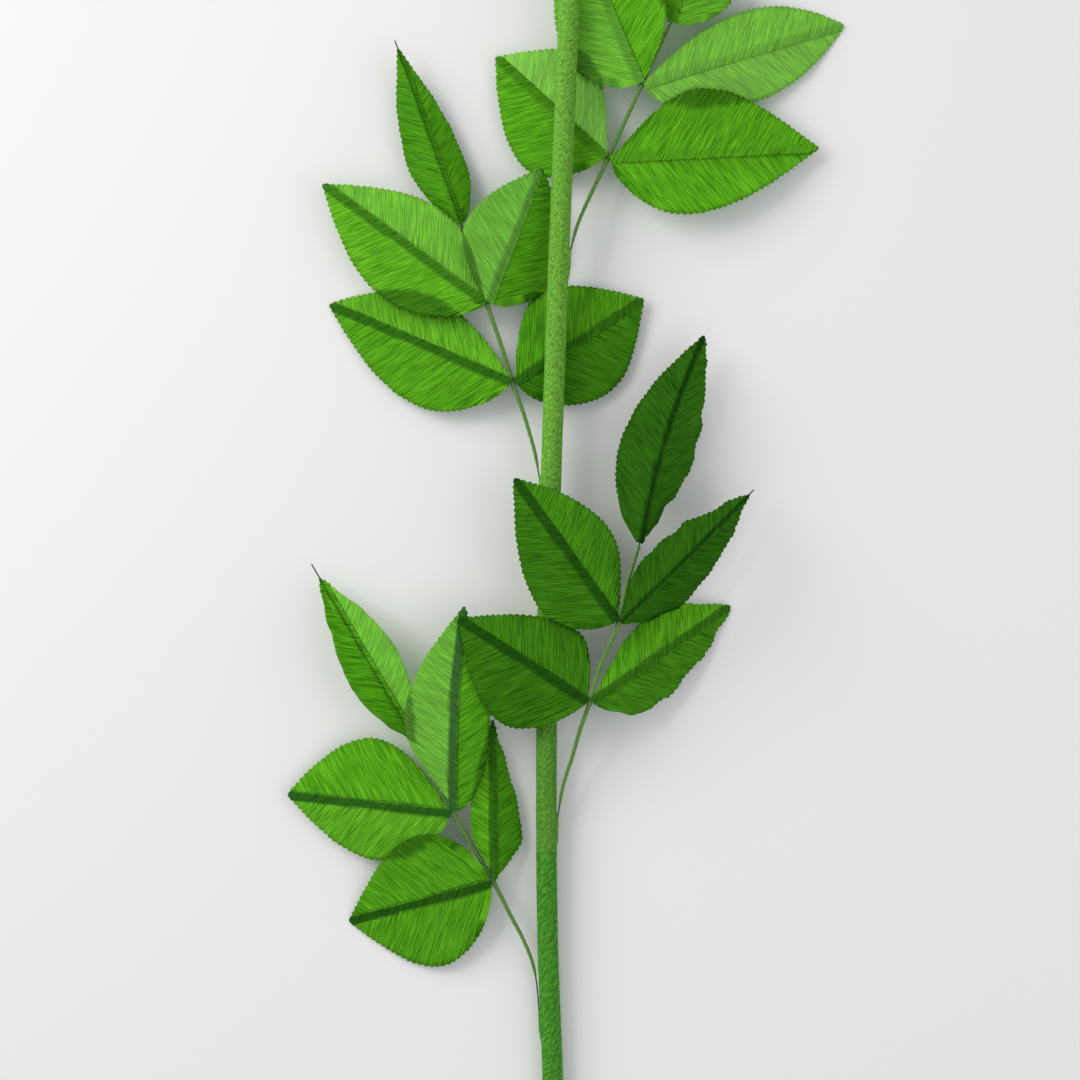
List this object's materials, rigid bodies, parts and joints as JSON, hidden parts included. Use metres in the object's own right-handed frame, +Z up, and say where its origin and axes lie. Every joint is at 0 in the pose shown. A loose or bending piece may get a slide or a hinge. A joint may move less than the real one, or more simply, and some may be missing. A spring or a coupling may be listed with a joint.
{
  "type": "leafy stalk of a crepe-paper flower",
  "caption": "Long paper-wrapped stem with taped wire sprigs of pointed crepe-paper leaflets, pinked at the edge and glued along the midrib, lying flat.",
  "frame": {"origin": "middle of the footprint, on the surface the flower lies on", "axes": "+Y along the stem from its lower end towards the bloom end, +X to the right seen from above, +Z up from the surface"},
  "size_m": [0.463, 1.0804, 0.0712],
  "materials": {
    "leaf_paper": "matte crepe paper",
    "stem_paper": "matte stretched crepe paper",
    "tape_paper": "waxed paper tape, satin",
    "wire": "dark green lacquered steel wire",
    "pipe": "grey-white plastic pipe"
  },
  "bodies": {
    "root": {"stem_pipe": "pipe", "stem_wrap_lower": "stem_paper", "stem_wrap_upper": "stem_paper", "low_left_end_leaflet_left_half": "leaf_paper", "low_left_end_leaflet_right_half": "leaf_paper", "low_left_lower_left_leaflet_left_half": "leaf_paper", "low_left_lower_left_leaflet_right_half": "leaf_paper", "low_left_lower_right_leaflet_left_half": "leaf_paper", "low_left_lower_right_leaflet_right_half": "leaf_paper", "low_left_upper_left_leaflet_left_half": "leaf_paper", "low_left_upper_left_leaflet_right_half": "leaf_paper", "low_left_upper_right_leaflet_left_half": "leaf_paper", "low_left_upper_right_leaflet_right_half": "leaf_paper", "low_left_stalk_tape": "tape_paper", "low_left_stalk_wire": "wire", "low_left_lower_pair_wire": "wire", "low_left_upper_pair_wire": "wire", "mid_right_end_leaflet_left_half": "leaf_paper", "mid_right_end_leaflet_right_half": "leaf_paper", "mid_right_lower_left_leaflet_left_half": "leaf_paper", "mid_right_lower_left_leaflet_right_half": "leaf_paper", "mid_right_lower_right_leaflet_left_half": "leaf_paper", "mid_right_lower_right_leaflet_right_half": "leaf_paper", "mid_right_upper_left_leaflet_left_half": "leaf_paper", "mid_right_upper_left_leaflet_right_half": "leaf_paper", "mid_right_upper_right_leaflet_left_half": "leaf_paper", "mid_right_upper_right_leaflet_right_half": "leaf_paper", "mid_right_stalk_tape": "tape_paper", "mid_right_stalk_wire": "wire", "mid_right_lower_pair_wire": "wire", "mid_right_upper_pair_wire": "wire", "mid_left_end_leaflet_left_half": "leaf_paper", "mid_left_end_leaflet_right_half": "leaf_paper", "mid_left_lower_left_leaflet_left_half": "leaf_paper", "mid_left_lower_left_leaflet_right_half": "leaf_paper", "mid_left_lower_right_leaflet_left_half": "leaf_paper", "mid_left_lower_right_leaflet_right_half": "leaf_paper", "mid_left_upper_left_leaflet_left_half": "leaf_paper", "mid_left_upper_left_leaflet_right_half": "leaf_paper", "mid_left_upper_right_leaflet_left_half": "leaf_paper", "mid_left_upper_right_leaflet_right_half": "leaf_paper", "mid_left_stalk_tape": "tape_paper", "mid_left_stalk_wire": "wire", "mid_left_lower_pair_wire": "wire", "mid_left_upper_pair_wire": "wire", "top_right_end_leaflet_left_half": "leaf_paper", "top_right_end_leaflet_right_half": "leaf_paper", "top_right_lower_left_leaflet_left_half": "leaf_paper", "top_right_lower_left_leaflet_right_half": "leaf_paper", "top_right_lower_right_leaflet_left_half": "leaf_paper", "top_right_lower_right_leaflet_right_half": "leaf_paper", "top_right_upper_left_leaflet_left_half": "leaf_paper", "top_right_upper_left_leaflet_right_half": "leaf_paper", "top_right_upper_right_leaflet_left_half": "leaf_paper", "top_right_upper_right_leaflet_right_half": "leaf_paper", "top_right_stalk_tape": "tape_paper", "top_right_stalk_wire": "wire", "top_right_lower_pair_wire": "wire", "top_right_upper_pair_wire": "wire"}
  },
  "joints": []
}
